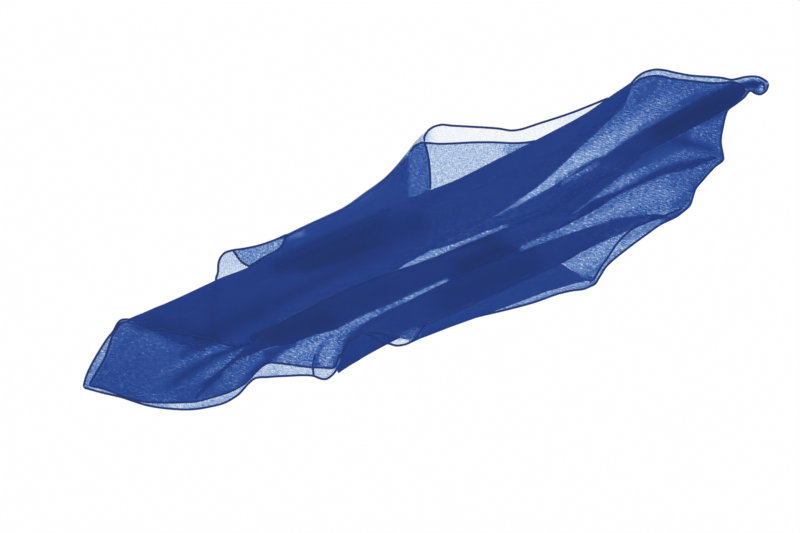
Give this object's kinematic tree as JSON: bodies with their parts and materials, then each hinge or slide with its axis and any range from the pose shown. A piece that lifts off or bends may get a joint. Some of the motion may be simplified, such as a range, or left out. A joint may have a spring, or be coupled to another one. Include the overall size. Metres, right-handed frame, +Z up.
{
  "type": "sarong",
  "caption": "Sheer voile sarong lying flat, dropped in long folds, with rolled hems, plies spread below and a flap falling out on the far side.",
  "frame": {"origin": "middle of the box at the height of the surface that the cloth lies on", "axes": "+X along the cloth to the tip with the small curl, +Y to the far side where the flap falls out, +Z up from the surface"},
  "size_m": [1.8, 0.505, 0.0144],
  "materials": {
    "voile_light": "sheer blue cotton voile, one or two plies, fine slubs, soft matt",
    "voile_deep": "the same sheer blue voile where many plies lie together, deep navy blue",
    "rolled_hem": "narrow rolled hem of the same voile, tightly stitched, dark navy"
  },
  "bodies": {
    "root": {"under_ply": "voile_light", "upper_ply": "voile_light", "flap_outer": "voile_light", "flap_inner": "voile_light", "flap_fold": "voile_deep", "middle_tuck": "voile_light", "middle_fold": "voile_deep", "lower_flap": "voile_light", "lower_band": "voile_deep", "right_fold": "voile_deep", "upper_band": "voile_deep", "tip_curl": "voile_light"}
  },
  "joints": []
}
